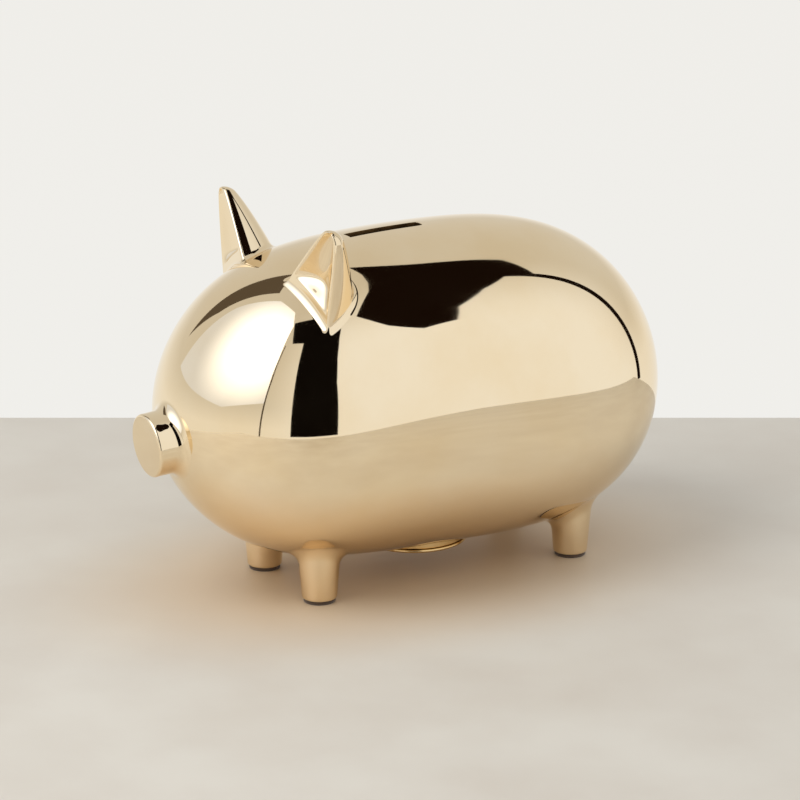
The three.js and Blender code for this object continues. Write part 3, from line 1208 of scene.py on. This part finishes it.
@dataclass(frozen=True)
class Ear:
    """A cupped leaf on the brow, with a thick rolled rim."""

    form: BodyForm
    side: int
    height: float = 28.88 * MM
    half_width: float = 12.5 * MM
    depth: float = 16.5 * MM
    tip: float = 2.4 * MM
    rim: float = 2.2 * MM
    bulge: float = 0.9 * MM
    cup: float = 0.4
    lip: float = 3.4 * MM
    floor_rise: float = 4.4 * MM
    setback: float = 41.8 * MM
    roll: float = math.radians(32)
    turn: float = math.radians(9)
    splay: float = math.radians(26)
    fillet: float = 1.9 * MM
    points: int = 176
    rows: int = 96

    @property
    def node(self) -> str:
        """Name of the CAD node."""
        return "left_ear" if self.side > 0 else "right_ear"

    def stance(self) -> Matrix:
        """The ear's frame: origin at the foot of its face on the brow, Z up the leaf, -Y out of the cup."""
        y = self.form.head_y + self.setback
        radius = self.form.radius(y)
        x = self.side * radius * math.sin(self.roll)
        z = self.form.axis_height(y) + radius * math.cos(self.roll)
        outwards = Matrix.Rotation(self.side * self.turn, 4, "Z")
        sideways = Matrix.Rotation(self.side * self.splay, 4, "Y")
        return Matrix.Translation((x, y, z)) @ outwards @ sideways

    def half(self, base: float, height: float) -> float:
        """Half width, or depth, of the leaf at a height: a pointed arch with a round tip.

        Args:
            base: the same measure at the leaf's foot.
            height: height up the leaf.

        Returns:
            The measure at that height.
        """
        share = min(height / self.height, 1.0)
        near_tip = max(height - self.height + self.tip, 0.0)
        rounding = math.sqrt(max(self.tip**2 - near_tip**2, 0.0)) / self.tip
        flank = base * (1 - share) ** 0.8
        return flank + self.tip * max(share, 0.0) * rounding

    def brow(self, stance: Matrix) -> Callable[[float], float]:
        """Measures how high the body's skin stands in the ear's frame.

        Args:
            stance: the ear's frame.

        Returns:
            A function from x in the ear's frame to the skin's height under the face.
        """
        count = 48
        reach = 1.6 * self.half_width

        def measured(x: float) -> float:
            """The skin's height at x."""
            return halved(-30 * MM, 20 * MM, lambda h: self.form.outside(stance @ Vector((x, 0.0, h))) < 0)

        heights = [measured(reach * (2 * i / count - 1)) for i in range(count + 1)]

        def skin_height(x: float) -> float:
            """The skin's height at x, read between the measured ones."""
            spot = max(0.0, min(count - 1e-6, (x / reach + 1) / 2 * count))
            left = int(spot)
            return heights[left] + (heights[left + 1] - heights[left]) * (spot - left)

        return skin_height

    def front(self, share: float, x: float, height: float, half: float, skin: float) -> float:
        """How far back the front of the ear lies at a place on its face.

        Args:
            share: distance from the leaf's middle line as a share of its half width.
            x: place across the face; not used.
            height: place up the face.
            half: the leaf's half width there.
            skin: the body's height under that place.

        Returns:
            Y in the ear's frame: negative on the rim's crest, positive in the cup.
        """
        bulge = min(self.bulge, 0.6 * half)
        crest = max(1 - self.rim / 2 / max(half, 1e-9), 0.35)
        if share > crest:
            return -bulge * math.sqrt(max(1 - ((share - crest) / (1 - crest)) ** 2, 0.0))
        inwards = softened(1 - share / crest, 0.16)
        upwards = softened((height - skin - self.lip) / self.floor_rise, 0.2)
        across = 1 - (1 - inwards) ** 2
        rise = 1 - (1 - min(upwards, 1.0)) ** 2
        cup = self.cup * max(half - self.rim / 2, 0.0) + bulge
        return -bulge + cup * across * rise

    def build(self) -> None:
        """Draws the leaf out of its fillet, section by section, up to the tip."""
        stance = self.stance()
        skin_height = self.brow(stance)

        def place(share: float, height: float) -> Vector:
            """A place on the leaf: the first half of the way round is its back, the rest its face."""
            turn = math.tau * share
            half = self.half(self.half_width, height)
            x = half * math.cos(turn)
            if math.sin(turn) >= 0:
                y = self.half(self.depth, height) * math.sin(turn)
            else:
                y = self.front(abs(math.cos(turn)), x, height, half, skin_height(x))
            return stance @ Vector((x, y, height))

        root = Root(self.form, place, -16 * MM, self.height * 0.8, self.points, self.fillet, rows=9)
        rings, tops = root.rings()
        for row in range(1, self.rows + 1):
            climb = (1 - math.cos(math.pi * row / self.rows)) / 2
            heights = [top + (self.height - top) * climb for top in tops]
            rings.append([place(i / self.points, height) for i, height in enumerate(heights)])
        polish(lofted("polished_" + self.node, rings), self.form, self.node)


def softened(value: float, ease: float) -> float:
    """A ramp that starts from zero without a kink and then climbs evenly.

    Args:
        value: where on the ramp; below zero it stays at zero.
        ease: how much of the ramp is taken by the soft start.

    Returns:
        The ramp's height, one at one.
    """
    start = max(value, 0.0)
    return start**2 / (start + ease) * (1 + ease)


# ------------------------------------------------------------------ port and stopper


@dataclass(frozen=True)
class Port:
    """The turned collar in the belly and the stopper that plugs it."""

    ease: float = 0.3 * MM
    clearance: float = 0.3 * MM
    boss_radius: float = 4.5 * MM
    screw_bore: float = 2.15 * MM
    bung_bore: float = 4.8 * MM
    ribs: int = 3
    rib_height: float = 0.45 * MM
    shank_radius: float = 2 * MM
    cross_arm: float = 4.4 * MM
    cross_width: float = 0.9 * MM
    cross_bit: float = 2.4 * MM

    @property
    def centre(self) -> Vector:
        """The port's middle."""
        low, high = cad_box("port_collar")
        return (low + high) / 2

    def build_collar(self) -> None:
        """Turns the collar with eased edges."""
        low, high = cad_box("port_collar")
        outer, inner, ease = (high.x - low.x) / 2, self.bore, self.ease
        outline = [(inner, low.z + ease), (inner + ease, low.z), (outer - ease, low.z), (outer, low.z + ease)]
        outline += [(outer, high.z - ease), (outer - ease, high.z), (inner + ease, high.z)]
        outline += [(inner, high.z - ease), (inner, low.z + ease)]
        collar = turned("turned_port_collar", outline, self.centre, 144)
        smooth(collar)
        register(collar, [self.turned_brass], Body.BANK, ["port_collar"])

    @property
    def bore(self) -> float:
        """Radius of the port: the bung's, and its clearance."""
        low, high = cad_box("stopper_bung")
        return (high.x - low.x) / 2 + self.clearance

    @property
    def turned_brass(self) -> TurnedBrass:
        """The lathe's finish, centred on the port."""
        return TurnedBrass("turned_brass", centre_y=self.centre.y)

    def build_cap(self) -> None:
        """Turns the cap: a shallow dome with a rounded edge, and the boss that takes the screw."""
        low, high = cad_box("stopper_cap")
        outer, face = (high.x - low.x) / 2, cad_box("stopper_bung")[0].z
        boss, bore, floor = self.boss_radius, self.screw_bore, low.z + 1 * MM
        thick = face - low.z
        outline = [(0.0, low.z), (outer * 0.5, low.z), (outer * 0.8, low.z + thick * 0.06)]
        outline += [(outer - thick * 0.5, low.z + thick * 0.2)]
        for step in range(1, 9):
            turn = math.pi * step / 9
            outline.append(
                (outer - thick * 0.4 * (1 - math.sin(turn)), low.z + thick * (0.6 - 0.4 * math.cos(turn)))
            )
        outline += [(outer - thick * 0.6, face), (boss, face), (boss, high.z - self.ease)]
        outline += [(boss - self.ease, high.z), (bore, high.z), (bore, floor), (0.0, floor)]
        cap = turned("turned_stopper_cap", outline, self.centre, 144)
        smooth(cap, 30)
        register(cap, [self.turned_brass], Body.STOPPER, ["stopper_cap"])

    def build_bung(self) -> None:
        """Moulds the bung with grip ribs round it."""
        low, high = cad_box("stopper_bung")
        outer, inner = (high.x - low.x) / 2, self.bung_bore
        valley = outer - self.rib_height
        pitch = (high.z - low.z) / (self.ribs + 0.5)
        outline = [(inner, low.z), (valley, low.z)]
        for rib in range(self.ribs):
            middle = low.z + pitch * (rib + 0.6)
            outline += [(valley, middle - 0.3 * pitch), (outer, middle - 0.14 * pitch)]
            outline += [(outer, middle + 0.14 * pitch), (valley, middle + 0.3 * pitch)]
        outline += [(valley - self.ease, high.z), (inner, high.z), (inner, low.z)]
        bung = turned("moulded_stopper_bung", outline, self.centre, 96)
        finish_with(
            bung,
            "BEVEL",
            width=0.15 * MM,
            segments=2,
            limit_method="ANGLE",
            angle_limit=math.radians(30),
        )
        smooth(bung)
        register(bung, [RUBBER], Body.STOPPER, ["stopper_bung"])

    def build_washer(self) -> None:
        """Stamps the washer, with its edges tumbled."""
        low, high = cad_box("stopper_washer")
        outer, inner, ease = (high.x - low.x) / 2, self.screw_bore, self.ease / 2
        outline = [(inner, low.z), (outer - ease, low.z), (outer, low.z + ease), (outer, high.z - ease)]
        outline += [(outer - ease, high.z), (inner + ease, high.z), (inner, high.z - ease), (inner, low.z)]
        washer = turned("plated_stopper_washer", outline, self.centre, 96)
        smooth(washer)
        register(washer, [ZINC_PLATE], Body.STOPPER, ["stopper_washer"])

    def build_screw(self) -> None:
        """Turns the pan-head screw and cuts the cross for its driver."""
        low, high = cad_box("stopper_screw")
        seat = cad_box("stopper_washer")[1].z
        head, shank = (high.x - low.x) / 2, self.shank_radius
        outline = [(0.0, low.z), (shank * 0.8, low.z), (shank, low.z + 0.4 * MM), (shank, seat), (head, seat)]
        for step in range(7):
            turn = math.pi / 2 * step / 6
            dome = 0.35 + 0.65 * math.sin(turn)
            outline.append((head * math.cos(turn * 0.999), seat + (high.z - seat) * dome))
        outline[-1] = (0.0, high.z)
        screw = turned("plated_stopper_screw", outline, self.centre, 64)
        place = (self.centre.x, self.centre.y, high.z)
        for size in ((self.cross_width, self.cross_arm), (self.cross_arm, self.cross_width)):
            bpy.ops.mesh.primitive_cube_add(size=1, location=place, scale=(*size, self.cross_bit))
            bit = set_down(bpy.context.object, "driver_bit")
            finish_with(screw, "BOOLEAN", object=bit, operation="DIFFERENCE", solver="EXACT")
            bpy.data.objects.remove(bit, do_unlink=True)
        smooth(screw)
        register(screw, [ZINC_PLATE], Body.STOPPER, ["stopper_screw"])

    def build(self) -> None:
        """Makes the collar and the four pieces of the stopper."""
        self.build_collar()
        self.build_cap()
        self.build_bung()
        self.build_washer()
        self.build_screw()


# ------------------------------------------------------------------ studio


def bearing(azimuth: float, rise: float) -> Vector:
    """A direction out from the bank.

    Args:
        azimuth: degrees round from straight ahead of the pig, towards its left side.
        rise: degrees over the horizon.

    Returns:
        A unit vector.
    """
    turn, climb = math.radians(azimuth), math.radians(rise)
    return Vector((math.sin(turn) * math.cos(climb), -math.cos(turn) * math.cos(climb), math.sin(climb)))


def stage_only(thing: bpy.types.Object) -> None:
    """Keeps a studio card out of sight and out of the light: only the metal mirrors it."""
    thing.visible_camera = False
    thing.visible_diffuse = False
    thing.visible_shadow = False
    thing.visible_transmission = False
    thing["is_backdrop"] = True


@dataclass(frozen=True)
class Card:
    """A sheet hung round the bank for the metal to mirror: a black flag, or a glowing scrim.

    Its corners are bearings from the bank, so that it spans what the eye sees of it there.
    """

    name: str
    corners: tuple[tuple[float, float], ...]
    colour: str
    glow: float = 1.0
    heart: tuple[float, float] | None = None
    fade: float = 0.0
    spread: float = 1.5
    distance: float = 2.2
    height: float = 0.067

    def material(self) -> bpy.types.Material:
        """A plain glow, or one that fades from the card's heart to its rim."""
        made = bpy.data.materials.new(self.name)
        tree = cleared_tree(made)
        light = add_node(tree, "Emission", inputs={"Color": linear(self.colour), "Strength": self.glow})
        if self.heart is not None:
            place = add_node(tree, "TexCoord").outputs["Object"]
            middle = bearing(*self.heart) * self.distance
            away = add_node(tree, "VectorMath", {"operation": "DISTANCE"}, {0: place, 1: middle})
            fall = add_node(
                tree,
                "MapRange",
                {"interpolation_type": "SMOOTHSTEP"},
                {
                    "Value": away.outputs["Value"],
                    "From Min": 0.0,
                    "From Max": self.spread,
                    "To Min": self.glow,
                    "To Max": self.fade,
                },
            )
            tree.links.new(fall.outputs["Result"], light.inputs["Strength"])
        add_node(tree, "OutputMaterial", inputs={"Surface": light.outputs["Emission"]})
        return made

    def build(self) -> None:
        """Cuts the sheet to its corners and hangs it."""
        bpy.ops.mesh.primitive_circle_add(vertices=len(self.corners), radius=1, fill_type="NGON")
        sheet = set_down(bpy.context.object, self.name)
        with Bench(sheet) as bench:
            mesh = bench.mesh
            for vertex, corner in zip(mesh.verts, self.corners):
                vertex.co = bearing(*corner) * self.distance + Vector((0, 0, self.height))
            bench.show()
            bpy.ops.mesh.select_all(action="SELECT")
            bpy.ops.mesh.quads_convert_to_tris()
        sheet.data.materials.append(self.material())
        stage_only(sheet)


@dataclass(frozen=True)
class Studio:
    """Table, surroundings, light and camera."""

    azimuth: float = 59.85
    rise: float = 16.52
    distance: float = 1.1563
    aim: tuple[float, float, float] = (0.8 * MM, 0.9 * MM, 61.3 * MM)
    field_of_view: float = 14.0
    table_back: float = 0.182
    table_front: float = 0.42
    table_left: float = 0.40
    table_right: float = 0.62
    table_thick: float = 0.03
    key_bearing: tuple[float, float] = (4, 50)
    key_distance: float = 1.5
    key_size: float = 0.9
    key_power: float = 9.0
    bright_side: tuple[float, float] = (110, 8)

    def build_table(self) -> None:
        """Lays a stone top square to the view, its back edge close behind the bank."""
        away = -bearing(self.azimuth, 0)
        across = away.cross(Vector((0, 0, 1)))
        bpy.ops.mesh.primitive_cube_add(size=1)
        table = set_down(bpy.context.object, "table")
        with Bench(table) as bench:
            mesh = bench.mesh
            for vertex in mesh.verts:
                right = self.table_right if vertex.co.x > 0 else -self.table_left
                back = self.table_back if vertex.co.y > 0 else -self.table_front
                level = 0.0 if vertex.co.z > 0 else -self.table_thick
                vertex.co = across * right + away * back + Vector((0, 0, level))
            bench.show()
            bpy.ops.mesh.select_all(action="SELECT")
            bpy.ops.mesh.normals_make_consistent(inside=False)
        finish_with(table, "BEVEL", width=1.5 * MM, segments=3)
        smooth(table)
        table.data.materials.append(STONE.material())
        table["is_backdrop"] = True

    def build_surroundings(self) -> None:
        """Wraps a pale room round the table: light low down, softer higher up, lightest to the right."""
        world = bpy.data.worlds.new("pale_room")
        bpy.context.scene.world = world
        tree = cleared_tree(world)
        way = add_node(tree, "TexCoord").outputs["Generated"]
        level = add_node(tree, "SeparateXYZ", inputs={"Vector": way}).outputs["Z"]
        climb = add_node(tree, "MapRange", inputs={"Value": level, "From Min": -1.0, "From Max": 1.0})
        wall = ramp(
            tree,
            climb.outputs["Result"],
            {0.3: "#F1F0EC", 0.47: "#EFEDE8", 0.6: "#D6D3CC", 1.0: "#CFCBC3"},
        )
        bright = bearing(*self.bright_side)
        side = add_node(tree, "VectorMath", {"operation": "DOT_PRODUCT"}, {0: way, 1: bright})
        share = add_node(
            tree,
            "MapRange",
            {"interpolation_type": "SMOOTHSTEP"},
            {"Value": side.outputs["Value"], "From Min": 0.1, "From Max": 0.75, "To Min": 0.0, "To Max": 1.0},
        )
        room = add_node(
            tree,
            "Mix",
            {"data_type": "RGBA"},
            {0: share.outputs["Result"], 6: wall, 7: linear("#F4F5F6")},
        )
        glow = add_node(tree, "Background", inputs={"Color": room.outputs[2], "Strength": 1.0})
        add_node(tree, "OutputWorld", inputs={"Surface": glow.outputs["Background"]})

    def hang_cards(self) -> None:
        """Hangs the white scrim and the black flags that draw the polished form."""
        Card(
            "key_scrim",
            ((-56, 12), (-58, 45), (-48, 70), (0, 76), (24, 68), (29, 45), (29, 14), (0, 8)),
            "#EFF4FF",
            glow=2.9,
            heart=(7, 48),
            fade=0.88,
            spread=1.8,
            distance=2.4,
        ).build()
        Card(
            "tall_flag",
            (
                (48, -9), (77, -9), (77, 28), (79, 44), (84, 58), (93, 68), (106, 73),
                (85, 76), (50, 75), (22, 70), (31, 63), (36, 56), (48, 57),
            ),
            "#0C0907",
        ).build()
        Card(
            "high_flag",
            (
                (112, 69), (119, 56), (125, 48), (132, 48), (141, 54), (158, 57.5), (173, 57),
                (173, -9), (177, -9), (177, 52), (196, 55), (210, 60), (232, 62),
                (216, 68), (196, 72), (172, 74), (140, 74),
            ),
            "#150C07",
        ).build()
        Card(
            "side_flag",
            ((-97, 58), (-66, 66), (-64, 34), (-69, 16), (-76, 32), (-84, 46)),
            "#5A5044",
        ).build()
        Card(
            "thin_flag",
            ((27.6, -10), (28.6, -10), (30.4, 30), (30.2, 54), (29.4, 54), (29.4, 30)),
            "#4A4036",
        ).build()

    def light(self) -> None:
        """Sets one large soft light ahead of the pig and above it."""
        way = bearing(*self.key_bearing)
        bpy.ops.object.light_add(type="AREA", location=way * self.key_distance)
        lamp = bpy.context.object
        lamp.name = "soft_key"
        lamp.rotation_mode = "QUATERNION"
        lamp.rotation_quaternion = way.to_track_quat("Z", "Y")
        lamp.data.shape = "DISK"
        lamp.data.size = self.key_size
        lamp.data.energy = self.key_power
        lamp.data.color = linear("#FFFBF4")[:3]
        lamp.visible_glossy = False
        lamp.visible_camera = False

    def place_camera(self) -> None:
        """Stands the camera to the pig's front left, a little above it."""
        aim = Vector(self.aim)
        back = bearing(self.azimuth, self.rise)
        bpy.ops.object.camera_add(location=aim + back * self.distance)
        camera = bpy.context.object
        camera.rotation_mode = "QUATERNION"
        camera.rotation_quaternion = back.to_track_quat("Z", "Y")
        camera.data.angle = math.radians(self.field_of_view)
        camera.data.clip_start = 0.01
        camera.data.clip_end = 50.0
        bpy.context.scene.camera = camera

    def build(self) -> None:
        """Sets the whole studio up."""
        view = bpy.context.scene.view_settings
        view.view_transform = "Standard"
        view.look = "None"
        self.build_table()
        self.build_surroundings()
        self.hang_cards()
        self.light()
        self.place_camera()


# ------------------------------------------------------------------ assembly


@dataclass
class PigBank:
    """The whole bank, built round its frame."""

    form: BodyForm = field(default_factory=form_of_frame)
    feet: tuple[str, ...] = ("front_left_foot", "front_right_foot", "rear_left_foot", "rear_right_foot")

    def build(self) -> None:
        """Builds each sub-assembly and dresses what stays as CAD made it."""
        Shells(self.form).build()
        Snout(self.form).build()
        for side in (1, -1):
            Ear(self.form, side).build()
        for node in self.feet:
            Foot(self.form, node).build()
        Port().build()
        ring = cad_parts["girth_backing_ring"]
        ring.data.materials.clear()
        ring.data.materials.append(RAW_BRASS.material())


def corners(box: tuple[Vector, Vector]) -> list[list[float]]:
    """A box as plain lists of numbers."""
    return [list(corner) for corner in box]


def main() -> None:
    """Builds the bank and its studio, and measures the boxes before and after."""
    logging.basicConfig(level=logging.INFO, format="%(message)s")
    before = corners(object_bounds())
    Studio().build()
    PigBank().build()
    {"cad": before, "looks": corners(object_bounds())}
    LOG.info("bank built")


if __name__ == "__main__":
    main()
